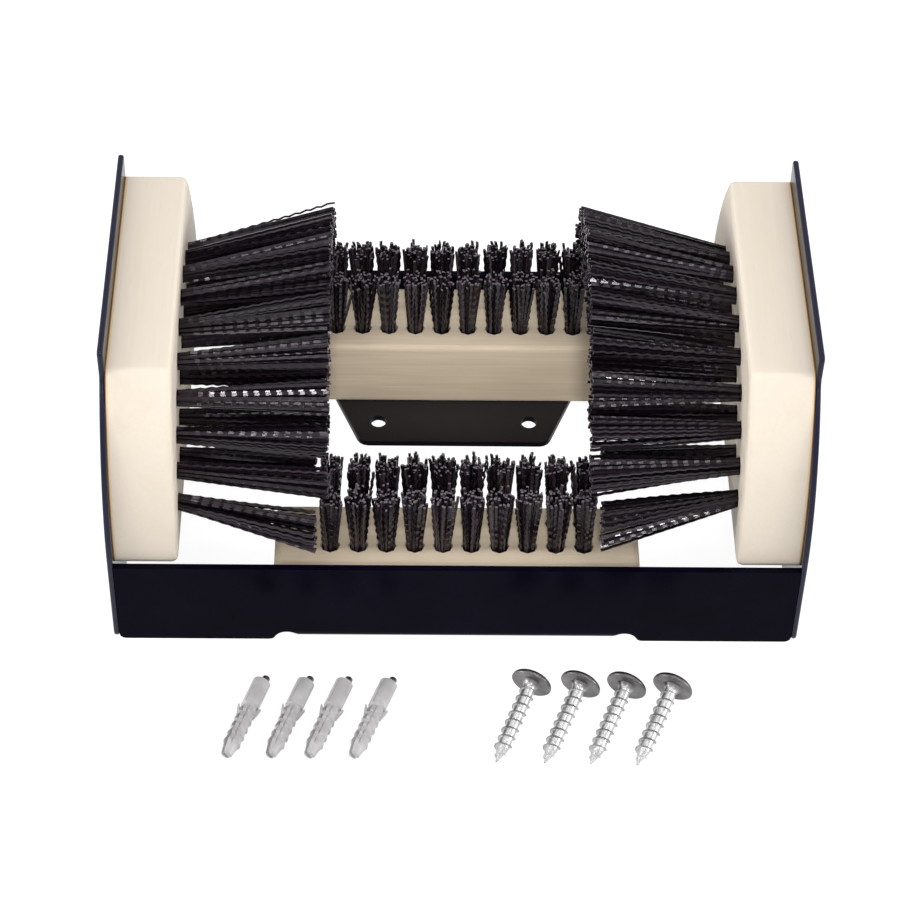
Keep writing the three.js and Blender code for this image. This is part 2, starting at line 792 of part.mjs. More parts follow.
export default set;
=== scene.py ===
"""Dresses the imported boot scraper: powder-coated steel, wooden blocks, crimped bristles and the fixing kit.

Lengths are written in millimetres, with Y counted from the middle of the scraper, and turned into
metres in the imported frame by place().
"""
import math
import random

import bmesh
import bpy
import numpy as np
from mathutils import Matrix, Vector

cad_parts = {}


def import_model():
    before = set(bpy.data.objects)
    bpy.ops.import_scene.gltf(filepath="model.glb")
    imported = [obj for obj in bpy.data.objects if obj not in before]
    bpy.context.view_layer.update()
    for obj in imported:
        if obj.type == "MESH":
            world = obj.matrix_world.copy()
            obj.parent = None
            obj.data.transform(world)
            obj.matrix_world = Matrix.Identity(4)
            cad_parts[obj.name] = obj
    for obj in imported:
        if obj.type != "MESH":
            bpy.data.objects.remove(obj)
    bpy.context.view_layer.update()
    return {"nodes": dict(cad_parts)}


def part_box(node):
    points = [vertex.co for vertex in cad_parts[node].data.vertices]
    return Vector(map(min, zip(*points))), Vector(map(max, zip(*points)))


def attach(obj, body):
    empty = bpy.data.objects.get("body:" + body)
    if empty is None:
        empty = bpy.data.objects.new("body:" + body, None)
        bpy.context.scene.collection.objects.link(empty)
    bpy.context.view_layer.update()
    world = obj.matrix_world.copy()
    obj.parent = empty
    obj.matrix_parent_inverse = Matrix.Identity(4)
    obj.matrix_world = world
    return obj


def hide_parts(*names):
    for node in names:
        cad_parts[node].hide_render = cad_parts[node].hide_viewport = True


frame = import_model()
nodes = frame["nodes"]

MM = 0.001
plate_low, plate_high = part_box("left_end_plate")
MIDDLE_Y = (plate_low.y + plate_high.y) / 2
HALF_DEPTH = (plate_high.y - plate_low.y) / 2 / MM

# The bristles: one filament is a flat crimped strip, and a tuft is a bundle of them
STRIP_WIDTH = 1.12
STRIP_THICKNESS = 0.8
CRIMP_PERIOD = 5.0
CRIMP_HEIGHT = 0.26
FILAMENTS_PER_TUFT = 40
# Strips of one packet crimp together
PACKETS_PER_TUFT = 6
TUFT_ROOT_RADIUS = 3.15
SIDE_TIP_RADIUS = 7.0
LOW_TIP_RADIUS = 10.5
BOTTOM_TIP_RADIUS = 5.7
# How far from the middle a strip's centre line may end
FURTHEST_Y = 91.4
BOTTOM_FURTHEST_X = 57.6

# How strips scatter in a tuft. Turns are in radians, strays in shares of the tip radius.
GOLDEN_TURN = 2.39996
TURN_JITTER = 0.3
LIFT_JITTER = 0.18
BOW = 0.35
STRAY = 0.09
WILD_STRAY = 0.3
WILD_SHARE = 0.08
SIDE_SCATTER = 0.55
BOTTOM_SCATTER = 2.4
# The least and the most that a cut end stands out past its tuft's tip
SIDE_CUT = (-1.3, 0.2)
BOTTOM_CUT = (-3.4, 0.9)
# Flat faces turn this way, give or take the scatter
LIT = np.array((0.0, -0.42, 0.91))

# The side brushes: the face that the tufts leave, how far behind it they are anchored, and two arches,
# each of (tufts, pitch in degrees, half width, height)
SIDE_FACE = 118.0
SIDE_THICKNESS = 27.0
SIDE_DEPTH = 25.5
SIDE_ARCHES = ((13, 13.0, 70.0, 67.0), (8, 18.6, 54.0, 51.0))
ARCH_CENTRE = 49.6
ARCH_SPACING = 16.0
ARCH_TURN = 1.65
SIDE_LENGTH = 64.0
SIDE_SPREAD = 13.4
# The lowest tufts droop and lean outwards by this much more
LOW_SPLAY = 4.0
# A tip that isn't LOW_REACH higher than the bottom brushes' tops is cut off beside them
LOW_REACH = 6.95
LOW_CUT_X = 59.425

# The bottom brushes: two rows of tufts that lean apart
BOTTOM_FACE = 38.0
BOTTOM_DEPTH = 33.5
BOTTOM_TOP = 73.0
BOTTOM_TUFTS = 10
BOTTOM_PITCH = 12.05
BOTTOM_END = 54.225
BOTTOM_ROOT_Y = 6.6
BOTTOM_TIP_Y = 9.7
FRONT_ROW_Y = -65.0
REAR_ROW_Y = 68.4

# The backing in each block
BACKING = 3.0
BACKING_RIM = 6.2
BACKING_STEPS = 24
# A bottom block stands on a tongue, whose top is as high as the rail is thick
RAIL_THICKNESS = 3.0
BLOCK_SCREW_X = 36.15
BLOCK_SCREW_HOLE = 2.4

# The wall plugs and the pin in each one's mouth, which lies beside the middle line
PLUG_RADIUS = 3.9
PLUG_SLEEVE = 14.0
PIN_OFFSET = 1.0


def place(x, y, z):
    """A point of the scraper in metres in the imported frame."""
    return Vector((x * MM, y * MM + MIDDLE_Y, z * MM))


def srgb(red, green, blue):
    """A colour as read on a screen, 0 to 255, in the linear values that Blender keeps."""
    def linear(value):
        share = value / 255
        return share / 12.92 if share <= 0.04045 else ((share + 0.055) / 1.055) ** 2.4
    return (linear(red), linear(green), linear(blue), 1.0)


class Nodes:
    """A material's node tree, with short calls for the nodes used here."""

    def __init__(self, name):
        self.material = bpy.data.materials.new(name)
        self.material.use_nodes = True
        self.tree = self.material.node_tree
        self.shader = self.tree.nodes["Principled BSDF"]

    def add(self, kind, **values):
        """A new node with its settings."""
        node = self.tree.nodes.new(kind)
        for key, value in values.items():
            setattr(node, key, value)
        return node

    def link(self, source, target):
        self.tree.links.new(source, target)

    def position(self, scale):
        """Object coordinates stretched by scale, in turns per metre."""
        coordinates = self.add("ShaderNodeTexCoord")
        mapping = self.add("ShaderNodeMapping")
        mapping.inputs["Scale"].default_value = scale
        self.link(coordinates.outputs["Object"], mapping.inputs["Vector"])
        return mapping.outputs["Vector"]

    def along(self, output, axis):
        """What the "Normal" or the "Object" position measures along one axis, in object space."""
        parts = self.add("ShaderNodeSeparateXYZ")
        self.link(self.add("ShaderNodeTexCoord").outputs[output], parts.inputs[0])
        return parts.outputs[axis]

    def size(self, output, axis):
        """The same without its sign."""
        unsigned = self.add("ShaderNodeMath", operation="ABSOLUTE")
        self.link(self.along(output, axis), unsigned.inputs[0])
        return unsigned.outputs[0]

    def noise(self, scale, detail=3.0, roughness=0.55, distortion=0.0):
        """A noise between 0 and 1. scale is in turns per metre on each axis."""
        node = self.add("ShaderNodeTexNoise")
        node.inputs["Scale"].default_value = 1.0
        node.inputs["Detail"].default_value = detail
        node.inputs["Roughness"].default_value = roughness
        node.inputs["Distortion"].default_value = distortion
        self.link(self.position(scale), node.inputs["Vector"])
        return node.outputs["Fac"]

    def ramp(self, source, stops):
        """A colour by a value, from stops of (value, colour)."""
        node = self.add("ShaderNodeValToRGB")
        band = node.color_ramp
        band.elements[0].position, band.elements[0].color = stops[0]
        band.elements[1].position, band.elements[1].color = stops[-1]
        for position, color in stops[1:-1]:
            band.elements.new(position).color = color
        self.link(source, node.inputs["Fac"])
        return node.outputs["Color"]

    def mix(self, share, first, second):
        """A colour between two others. Sockets 6 and 7 are the mix node's colours."""
        node = self.add("ShaderNodeMix", data_type="RGBA")
        for value, socket in ((share, node.inputs[0]), (first, node.inputs[6]), (second, node.inputs[7])):
            if isinstance(value, bpy.types.NodeSocket):
                self.link(value, socket)
            else:
                socket.default_value = value
        return node.outputs[2]

    def span(self, source, low, high, to_low, to_high):
        """Turns the values from low to high into those from to_low to to_high."""
        node = self.add("ShaderNodeMapRange")
        for socket, value in zip(node.inputs[1:5], (low, high, to_low, to_high)):
            socket.default_value = value
        self.link(source, node.inputs[0])
        return node.outputs[0]

    def bump(self, height, strength, distance):
        """Tilts the shader's normal by a height, its full relief being distance metres."""
        node = self.add("ShaderNodeBump")
        node.inputs["Strength"].default_value = strength
        node.inputs["Distance"].default_value = distance
        self.link(height, node.inputs["Height"])
        self.link(node.outputs["Normal"], self.shader.inputs["Normal"])

    def set(self, **values):
        """Sets the shader's sockets to values, or links them to other sockets."""
        for key, value in values.items():
            socket = self.shader.inputs[key.replace("_", " ")]
            if isinstance(value, bpy.types.NodeSocket):
                self.link(value, socket)
            else:
                socket.default_value = value


def grey(value):
    """A grey in linear values."""
    return (value, value, value, 1.0)


def powder_coat(name, level, axis, painted_light_from, painted_light_to, painted_light, painted_light_below):
    """Near-black coat with a faint orange peel, and painted lighter on faces that turn one way, standing in
    for light that falls there.

    The painted light goes on where the size of its normal along axis goes from the given start to the given
    end, below the given height in millimetres.
    """
    m = Nodes(name)
    cloud = m.noise((60, 60, 60), 2)
    colour = m.ramp(cloud, [(0.3, srgb(7, 5, 17)), (0.7, srgb(11, 9, 24))])
    peel = m.noise((900, 900, 900), 2, 0.5)
    fine = m.noise((3200, 3200, 3200), 1, 0.5)
    # Painted light: the share of the lighter colour, by the normal's direction and the height
    share = m.add("ShaderNodeMath", operation="MULTIPLY")
    m.link(m.span(m.size("Normal", axis), painted_light_from, painted_light_to, 0.0, 1.0), share.inputs[0])
    height = m.along("Object", 2)
    m.link(m.span(height, (painted_light_below - 1) * MM, painted_light_below * MM, 1.0, 0.0), share.inputs[1])
    m.set(
        Base_Color=m.mix(share.outputs[0], colour, painted_light),
        Roughness=m.span(cloud, 0.3, 0.7, 0.2, 0.28),
        IOR=1.5,
        Specular_IOR_Level=level,
        Specular_Tint=(0.9, 0.9, 1.0, 1.0),
    )
    m.bump(m.mix(0.3, peel, fine), 0.22, 0.0002)
    return m.material


def wood(name, along, light, dark, pore, streak, painted_edge_from=None):
    """Planed timber: long soft bands, fine fibres and dark pores, all running along one axis.

    The last argument is how far from the middle plane, in millimetres, the back edge's painted highlight line
    begins; a band of painted shade follows just past it.
    """
    def stretched(across, length):
        return tuple(length if axis == along else across for axis in range(3))

    m = Nodes(name)
    bands = m.noise(stretched(70, 6), 3, 0.5, 0.6)
    fibres = m.noise(stretched(620, 22), 4, 0.62)
    pores = m.noise(stretched(1500, 70), 2, 0.5)
    blotch = m.noise((22, 22, 22), 2)
    base = m.ramp(bands, [(0.28, dark), (0.5, light), (0.74, light)])
    base = m.mix(m.span(fibres, 0.3, 0.72, 0.0, streak), base, pore)
    base = m.mix(m.span(pores, 0.66, 0.8, 0.0, 0.5), base, pore)
    base = m.mix(m.span(blotch, 0.3, 0.7, 0.0, 0.22), base, light)
    # Painted light along the back edge: a pale amber painted highlight line, then a brown band of painted
    # shade where the block meets the end plate
    if painted_edge_from:
        away = m.size("Object", 0)
        painted_edge_highlight = m.span(away, painted_edge_from * MM, (painted_edge_from + 0.35) * MM, 0.0, 1.0)
        painted_gap_shade = m.span(away, (painted_edge_from + 0.8) * MM, (painted_edge_from + 1.1) * MM, 0.0, 1.0)
        base = m.mix(painted_gap_shade, m.mix(painted_edge_highlight, base, srgb(250, 216, 174)), srgb(150, 122, 88))
    m.set(Base_Color=base, Roughness=m.span(fibres, 0.3, 0.7, 0.5, 0.68), Specular_IOR_Level=0.3)
    m.bump(m.mix(0.45, fibres, pores), 0.3, 0.00025)
    return m.material


def bristle_nylon(name, darkest, middle, lightest, level, axis):
    """Black crimped nylon, each strip a little lighter or duller than the next, and paler where it is cut.

    axis is the one that the cut ends face.
    """
    m = Nodes(name)
    shade = m.add("ShaderNodeNewGeometry").outputs["Random Per Island"]
    speck = m.noise((500, 500, 500), 2)
    colour = m.ramp(shade, [(0.0, darkest), (0.55, middle), (1.0, lightest)])
    colour = m.mix(m.span(speck, 0.4, 0.7, 0.0, 0.2), colour, lightest)
    cut = m.span(m.size("Normal", axis), 0.8, 0.92, 0.0, 1.0)
    m.set(
        Base_Color=m.mix(cut, colour, srgb(104, 96, 104)),
        Roughness=m.span(speck, 0.3, 0.7, 0.16, 0.24),
        Specular_IOR_Level=level,
        Specular_Tint=(1.0, 0.93, 1.0, 1.0),
    )
    m.bump(speck, 0.12, 0.0001)
    return m.material


def zinc_plate():
    """Bright zinc: slightly clouded metal with fine drawn marks, and painted shade that darkens heads and
    thread crests.
    """
    m = Nodes("zinc_plate")
    cloud = m.noise((160, 160, 160), 3)
    marks = m.noise((2500, 2500, 700), 2)
    bright = m.ramp(cloud, [(0.3, srgb(176, 176, 178)), (0.7, srgb(208, 208, 208))])
    # Painted shade: the darker zinc that heads and thread crests get
    painted_shade_colour = m.ramp(cloud, [(0.3, srgb(98, 96, 98)), (0.7, srgb(134, 131, 132))])
    head = m.add("ShaderNodeAttribute", attribute_name="head")
    m.set(
        Base_Color=m.mix(head.outputs["Fac"], bright, painted_shade_colour),
        Metallic=1.0,
        Roughness=m.span(marks, 0.3, 0.7, 0.34, 0.44),
    )
    m.bump(marks, 0.06, 0.00005)
    return m.material


def plug_nylon():
    """Milky grey moulded nylon, softly translucent."""
    m = Nodes("plug_nylon")
    cloud = m.noise((120, 120, 120), 2)
    fine = m.noise((1400, 1400, 1400), 2)
    m.set(
        Base_Color=m.ramp(cloud, [(0.3, srgb(178, 175, 177)), (0.7, srgb(202, 199, 200))]),
        Roughness=m.span(fine, 0.3, 0.7, 0.26, 0.4),
        Subsurface_Weight=0.12,
        Subsurface_Radius=(1.0, 0.95, 0.9),
        Subsurface_Scale=0.0022,
        Specular_IOR_Level=0.45,
    )
    m.bump(fine, 0.14, 0.00015)
    return m.material


def pin_steel():
    """Dark oiled steel of the stub in each plug."""
    m = Nodes("pin_steel")
    marks = m.noise((900, 900, 200), 3)
    m.set(
        Base_Color=m.ramp(marks, [(0.3, srgb(84, 82, 84)), (0.7, srgb(122, 120, 122))]),
        Metallic=0.85,
        Roughness=m.span(marks, 0.3, 0.7, 0.3, 0.5),
    )
    m.bump(marks, 0.2, 0.0001)
    return m.material


# The rails' coat is painted lighter on the tongues' tops, as light from above; the plates' coat on their
# edges all round, as a painted bluish highlight
rail_coat = powder_coat(
    "rail_coat", level=0.025, axis=2, painted_light_from=0.7, painted_light_to=0.98, painted_light=srgb(47, 43, 44), painted_light_below=6)
# Painted highlight: the plates' edge roundings are painted a bluish grey
plate_coat = powder_coat(
    "plate_coat", level=0.24, axis=0, painted_light_from=0.95, painted_light_to=0.6, painted_light=srgb(27, 29, 52), painted_light_below=200)
# The side blocks' back edges get a painted highlight line and a band of painted shade
side_wood = wood(
    "side_wood", along=1, light=srgb(245, 233, 217), dark=srgb(241, 228, 210),
    pore=srgb(222, 203, 176), streak=0.12, painted_edge_from=143.6)
bottom_wood = wood(
    "bottom_wood", along=0, light=srgb(236, 219, 195), dark=srgb(226, 208, 181),
    pore=srgb(190, 168, 137), streak=0.36)
side_nylon = bristle_nylon(
    "side_nylon", srgb(8, 5, 9), srgb(21, 15, 22), srgb(44, 36, 44), level=0.4, axis=0)
bottom_nylon = bristle_nylon(
    "bottom_nylon", srgb(8, 5, 8), srgb(25, 19, 25), srgb(68, 58, 66), level=0.32, axis=2)
zinc = zinc_plate()
grey_nylon = plug_nylon()
dark_steel = pin_steel()


def dress(name, material):
    """Gives a CAD node its material and lets its smooth surfaces shade smoothly."""
    node = nodes[name]
    node.data.materials.clear()
    node.data.materials.append(material)
    if node.data.has_custom_normals:
        with bpy.context.temp_override(object=node, active_object=node):
            bpy.ops.mesh.customdata_custom_splitnormals_clear()
    for polygon in node.data.polygons:
        polygon.use_smooth = True


def ease_edges(name, width, segments=2, angle=32, clamp=True):
    """Rounds a CAD node's sharp edges a little, as its coat or a file would."""
    node = nodes[name]
    weld = node.modifiers.new("weld", "WELD")
    weld.merge_threshold = 0.00001
    bevel = node.modifiers.new("bevel", "BEVEL")
    bevel.width = width * MM
    bevel.segments = segments
    bevel.limit_method = "ANGLE"
    bevel.angle_limit = math.radians(angle)
    bevel.use_clamp_overlap = clamp
    bevel.miter_outer = "MITER_ARC"
    normals = node.modifiers.new("normals", "WEIGHTED_NORMAL")
    normals.keep_sharp = True
    normals.weight = 60
    normals.mode = "FACE_AREA"


def new_object(name, mesh, material):
    """Puts a mesh and its material into the scene."""
    piece = bpy.data.objects.new(name, mesh)
    bpy.context.scene.collection.objects.link(piece)
    mesh.materials.append(material)
    return piece


def strips(name, filaments, material):
    """One mesh of many flat crimped strips. Each filament is (points, crimp direction), in metres."""
    half_width = STRIP_WIDTH / 2 * MM
    half_height = STRIP_THICKNESS / 2 * MM
    vertices, faces = [], []
    for points, lift in filaments:
        first = len(vertices)
        along = points[-1] - points[0]
        along /= np.linalg.norm(along)
        up = lift - along * np.dot(lift, along)
        up /= np.linalg.norm(up)
        side = np.cross(along, up)
        corners = (
            side * half_width + up * half_height,
            side * -half_width + up * half_height,
            side * -half_width - up * half_height,
            side * half_width - up * half_height,
        )
        for point in points:
            vertices.extend(point + corner for corner in corners)
        last = len(points) - 1
        for ring in range(last):
            a = first + ring * 4
            for k in range(4):
                n = (k + 1) % 4
                faces.append((a + k, a + k + 4, a + n + 4, a + n))
        faces.append((first, first + 1, first + 2, first + 3))
        end = first + last * 4
        faces.append((end + 3, end + 2, end + 1, end))
    mesh = bpy.data.meshes.new(name)
    mesh.from_pydata([tuple(v) for v in vertices], [], faces)
    mesh.validate()
    mesh.update()
    return new_object(name, mesh, material)


def tuft_filaments(root, tip, tip_radius, rng, depth, cut, scatter):
    """The strips of one tuft, from its anchor in the block to a cut end, as (points, crimp direction).

    root and tip are in millimetres. depth is how far behind the face the strips start, cut is the least and
    most that one may stand out past the tip, and scatter is how far their flat faces turn from LIT.
    """
    root = np.array(root, float)
    tip = np.array(tip, float)
    along = (tip - root) / np.linalg.norm(tip - root)
    helper = np.array((0.0, 0.0, 1.0)) if abs(along[2]) < 0.8 else np.array((1.0, 0.0, 0.0))
    across = np.cross(helper, along)
    across /= np.linalg.norm(across)
    up = np.cross(along, across)
    anchor = along * depth / np.abs(along).max()
    trimmed = int(np.abs(along).argmax())
    towards = math.atan2(np.dot(up, LIT), np.dot(across, LIT))
    packets = [
        (rng.gauss(towards, scatter), rng.choice((-1, 1)), rng.uniform(0.25, 0.95))
        for _ in range(PACKETS_PER_TUFT)
    ]
    made = []
    for number in range(FILAMENTS_PER_TUFT):
        reach = math.sqrt((number + 0.5) / FILAMENTS_PER_TUFT)
        turn = number * GOLDEN_TURN + rng.uniform(-TURN_JITTER, TURN_JITTER)
        spot = reach * (across * math.cos(turn) + up * math.sin(turn))
        loose = WILD_STRAY if rng.random() < WILD_SHARE else STRAY
        stray = across * rng.gauss(0, loose) + up * rng.gauss(0, loose)
        foot = root - anchor + spot * TUFT_ROOT_RADIUS
        neck = root + spot * TUFT_ROOT_RADIUS
        head = tip + (spot + stray) * tip_radius
        head[trimmed] = tip[trimmed] + math.copysign(1, along[trimmed]) * rng.uniform(*cut)
        head[1] = min(max(head[1], -FURTHEST_Y), FURTHEST_Y)
        # The end tufts of a bottom brush stay clear of the side brushes' lowest tips
        if trimmed == 2:
            head[0] = min(max(head[0], -BOTTOM_FURTHEST_X), BOTTOM_FURTHEST_X)
        # Neighbours nest: they share the direction and the phase of their crimp
        packet = int(turn / math.tau * PACKETS_PER_TUFT) % PACKETS_PER_TUFT
        packet_turn, sign, shift = packets[packet]
        lift_turn = packet_turn + rng.gauss(0, LIFT_JITTER)
        lift = across * math.cos(lift_turn) + up * math.sin(lift_turn)
        reach_out = np.linalg.norm(head - neck)
        steps = max(3, int(reach_out / (CRIMP_PERIOD / 2)))
        bow = rng.gauss(0, BOW)
        points = [foot, neck + (head - neck) * 0.02]
        for step in range(steps + 1):
            share = (step + shift) / (steps + 1) if step < steps else 1.0
            # The longer face of each crimp takes three fifths of its period
            if step % 2:
                share = min(share + 0.1 * CRIMP_PERIOD / reach_out, 0.995)
            # The crimp grows over the first fifth
            ease = min(1.0, share * 5)
            offset = lift * sign * (1 if step % 2 else -1) * CRIMP_HEIGHT * ease
            curve = lift * bow * math.sin(math.pi * share)
            points.append(neck + (head - neck) * share + offset + curve)
        middle = np.array(points)
        middle[:, 1] += MIDDLE_Y / MM
        made.append((middle * MM, lift))
    return made


def side_tufts():
    """The tufts of the right-hand block as (root, tip, tip radius), in millimetres."""
    tufts = []
    for count, pitch, radius_y, radius_z in SIDE_ARCHES:
        for number in range(count):
            angle = math.radians(90 - ARCH_TURN + (number - (count - 1) / 2) * pitch)
            y, z = math.cos(angle), math.sin(angle)
            root = np.array((SIDE_FACE, radius_y * y, ARCH_CENTRE + radius_z * z))
            tip = root + np.array((-SIDE_LENGTH, SIDE_SPREAD * y, SIDE_SPREAD * z))
            radius = SIDE_TIP_RADIUS
            if count == SIDE_ARCHES[0][0] and number in (0, count - 1):
                tip += np.array((0, math.copysign(LOW_SPLAY, y), -LOW_SPLAY))
                radius = LOW_TIP_RADIUS
            if tip[2] - LOW_REACH < BOTTOM_TOP:
                share = (SIDE_FACE - LOW_CUT_X) / (SIDE_FACE - tip[0])
                if share < 1:
                    tip = root + (tip - root) * share
            tufts.append((root, tip, radius))
    return tufts


def turned(point):
    """A point of the right-hand block turned half round, to the left-hand one."""
    return np.array((-point[0], -point[1], point[2]))


def prism(name, outline, low, high, to_point, material):
    """A closed prism over an outline, its points turned into the scraper's by to_point(u, v, depth)."""
    made = bmesh.new()
    ends = []
    for level in (low, high):
        ends.append([made.verts.new(place(*to_point(u, v, level))) for u, v in outline])
    made.faces.new(ends[0])
    made.faces.new(list(reversed(ends[1])))
    for k in range(len(outline)):
        n = (k + 1) % len(outline)
        made.faces.new((ends[0][k], ends[0][n], ends[1][n], ends[1][k]))
    bmesh.ops.recalc_face_normals(made, faces=made.faces)
    bmesh.ops.triangulate(made, faces=[face for face in made.faces if len(face.verts) > 4])
    mesh = bpy.data.meshes.new(name)
    made.to_mesh(mesh)
    made.free()
    return new_object(name, mesh, material)


def side_backing(half_turn):
    """The arched strip in the back of a side block, in which its tufts are anchored."""
    count, pitch, radius_y, radius_z = SIDE_ARCHES[0]
    behind = SIDE_SPREAD * SIDE_THICKNESS / SIDE_LENGTH
    outer_y, outer_z = radius_y - behind + BACKING_RIM, radius_z - behind + BACKING_RIM
    inner_y, inner_z = (reach - ARCH_SPACING - 2 * BACKING_RIM for reach in (outer_y, outer_z))
    start = math.radians(90 - (count - 1) / 2 * pitch - ARCH_TURN) - BACKING_RIM / outer_y
    sweep = [start + (math.pi - 2 * start) * k / BACKING_STEPS for k in range(BACKING_STEPS + 1)]
    band = [(outer_y * math.cos(a), ARCH_CENTRE + outer_z * math.sin(a)) for a in sweep]
    band += [(inner_y * math.cos(a), ARCH_CENTRE + inner_z * math.sin(a)) for a in reversed(sweep)]
    side = -1 if half_turn else 1
    back = SIDE_FACE + SIDE_THICKNESS
    return prism(
        "backing", band, back - BACKING, back, lambda u, v, x: (side * x, side * u, v), side_nylon)


def bottom_backing(row_y):
    """The flat strip in the foot of a bottom block, in which its tufts are anchored, clear of the screws."""
    half_x, half_y = BOTTOM_END + BACKING_RIM, BOTTOM_ROOT_Y + BACKING_RIM
    corners = [(-half_x, -half_y), (half_x, -half_y), (half_x, half_y), (-half_x, half_y)]
    low = RAIL_THICKNESS
    piece = prism(
        "backing", corners, low, low + BACKING, lambda u, v, z: (u, row_y + v, z), bottom_nylon)
    profile = [(0.0, -1.0), (BLOCK_SCREW_HOLE, -1.0), (BLOCK_SCREW_HOLE, 9.0), (0.0, 9.0)]
    holes = []
    for x in (-BLOCK_SCREW_X, BLOCK_SCREW_X):
        hole = ring_mesh("hole", profile, 16)
        hole.transform(Matrix.Translation(place(x, row_y, 0)))
        holes.append(hole)
    carve(piece, holes)
    return piece


def side_bristles(name, node, half_turn, seed):
    """A side brush's strips and backing, in place of a CAD node. The left-hand one is half turned."""
    rng = random.Random(seed)
    filaments = []
    for root, tip, radius in side_tufts():
        if half_turn:
            root, tip = turned(root), turned(tip)
        filaments += tuft_filaments(root, tip, radius, rng, SIDE_DEPTH, SIDE_CUT, SIDE_SCATTER)
    piece = join(strips(name, filaments, side_nylon), side_backing(half_turn))
    finish(piece, node)


def bottom_bristles(name, node, row_y, seed):
    """A bottom brush's strips and backing, in place of a CAD node."""
    rng = random.Random(seed)
    filaments = []
    for row in (-1, 1):
        for number in range(BOTTOM_TUFTS):
            x = number * BOTTOM_PITCH - BOTTOM_END
            root = (x, row_y + row * BOTTOM_ROOT_Y, BOTTOM_FACE)
            tip = (x, row_y + row * BOTTOM_TIP_Y, BOTTOM_TOP)
            filaments += tuft_filaments(
                root, tip, BOTTOM_TIP_RADIUS, rng, BOTTOM_DEPTH, BOTTOM_CUT, BOTTOM_SCATTER)
    piece = join(strips(name, filaments, bottom_nylon), bottom_backing(row_y))
    finish(piece, node)


def finish(piece, replaced):
    """Puts a piece on the root body and hides the CAD node that it stands in for."""
    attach(piece, "root")
    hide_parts(replaced)


def ring_mesh(name, rows, sides):
    """A closed surface of revolution about Z. rows are (radius, z), in millimetres.

    No two rows in a row lie on Z itself.
    """
    made = bmesh.new()
    loops = []
    for radius, z in rows:
        if radius < 1e-6:
            loops.append([made.verts.new((0, 0, z * MM))])
            continue
        angles = [math.tau * k / sides for k in range(sides)]
        loops.append([
            made.verts.new((radius * MM * math.cos(angle), radius * MM * math.sin(angle), z * MM))
            for angle in angles
        ])
    for lower, upper in zip(loops, loops[1:]):
        for k in range(sides):
            n = (k + 1) % sides
            if len(lower) == 1:
                made.faces.new((lower[0], upper[n], upper[k]))
            elif len(upper) == 1:
                made.faces.new((lower[k], lower[n], upper[0]))
            else:
                made.faces.new((lower[k], lower[n], upper[n], upper[k]))
    bmesh.ops.recalc_face_normals(made, faces=made.faces)
    mesh = bpy.data.meshes.new(name)
    made.to_mesh(mesh)
    made.free()
    return mesh


def box_mesh(name, size, centre, turn):
    """A box of a size and centre in millimetres, then turned about Z by turn in radians."""
    made = bmesh.new()
    bmesh.ops.create_cube(made, size=1.0)
    matrix = Matrix.Rotation(turn, 4, "Z") @ Matrix.Translation(Vector(centre) * MM)
    matrix = matrix @ Matrix.Diagonal((*[s * MM for s in size], 1.0))
    made.transform(matrix)
    mesh = bpy.data.meshes.new(name)
    made.to_mesh(mesh)
    made.free()
    return mesh


def carve(body, cutters):
    """Cuts other meshes out of an object, one after the other."""
    for cutter in cutters:
        tool = bpy.data.objects.new("tool", cutter)
        bpy.context.scene.collection.objects.link(tool)
        modifier = body.modifiers.new("cut", "BOOLEAN")
        modifier.operation = "DIFFERENCE"
        modifier.solver = "EXACT"
        modifier.object = tool
        bake(body)
        bpy.data.objects.remove(tool)


def bake(piece):
    """Applies every modifier of a piece to its mesh."""
    bpy.context.view_layer.update()
    graph = bpy.context.evaluated_depsgraph_get()
    mesh = bpy.data.meshes.new_from_object(piece.evaluated_get(graph))
    old = piece.data
    piece.modifiers.clear()
    piece.data = mesh
    bpy.data.meshes.remove(old)


def smooth(piece, angle):
    """Smooth shading except across edges sharper than angle, in degrees."""
    mesh = piece.data
    for polygon in mesh.polygons:
        polygon.use_smooth = True
    made = bmesh.new()
    made.from_mesh(mesh)
    for edge in made.edges:
        edge.smooth = len(edge.link_faces) == 2 and edge.calc_face_angle(0) < math.radians(angle)
    made.to_mesh(mesh)
    made.free()


def laid(piece, x, ahead, z, turn, tilt):
    """Lays a piece made along its own Z on the floor ahead of the front rail, as the CAD has it.

    turn is in degrees and tilt, which lifts one end, in radians.
    """
    matrix = Matrix.Translation(place(x, -HALF_DEPTH - ahead, z))
    matrix = matrix @ Matrix.Rotation(-math.radians(turn), 4, "Z")
    matrix = matrix @ Matrix.Rotation(math.pi / 2 + tilt, 4, "X")
    piece.data.transform(matrix)


def threaded(core, depth, pitch, start, stop, sides, parts):
    """A threaded shank from start to stop: a helical grid of which every parts-th row is the crest.

    core and depth give the shank's radius and the thread's height at a z, all in millimetres.
    """
    made = bmesh.new()
    run_in, run_out = 2.5, 1.5
    step = pitch / parts
    count = int((stop - start) / step) + 1
    grid = []
    for i in range(-parts, count + 1):
        row = []
        for k in range(sides):
            z = start + i * step + pitch * k / sides
            z = min(max(z, start), stop)
            crest = 1.0 if i % parts == 0 else 0.0
            fade = min(1.0, max(0.0, (z - start) / run_in), max(0.0, (stop - z) / run_out))
            radius = core(z) + depth(z) * crest * fade
            angle = math.tau * k / sides
            point = (radius * MM * math.cos(angle), radius * MM * math.sin(angle), z * MM)
            row.append(made.verts.new(point))
        grid.append(row)
    for i in range(len(grid) - 1):
        for k in range(sides):
            if k < sides - 1:
                corners = (grid[i][k], grid[i][k + 1], grid[i + 1][k + 1], grid[i + 1][k])
            elif i + 1 + parts < len(grid):
                corners = (grid[i][k], grid[i + parts][0], grid[i + 1 + parts][0], grid[i + 1][k])
            else:
                continue
            made.faces.new(corners)
    bmesh.ops.remove_doubles(made, verts=made.verts, dist=1e-6)
    bmesh.ops.dissolve_degenerate(made, edges=made.edges, dist=1e-6)
    return made


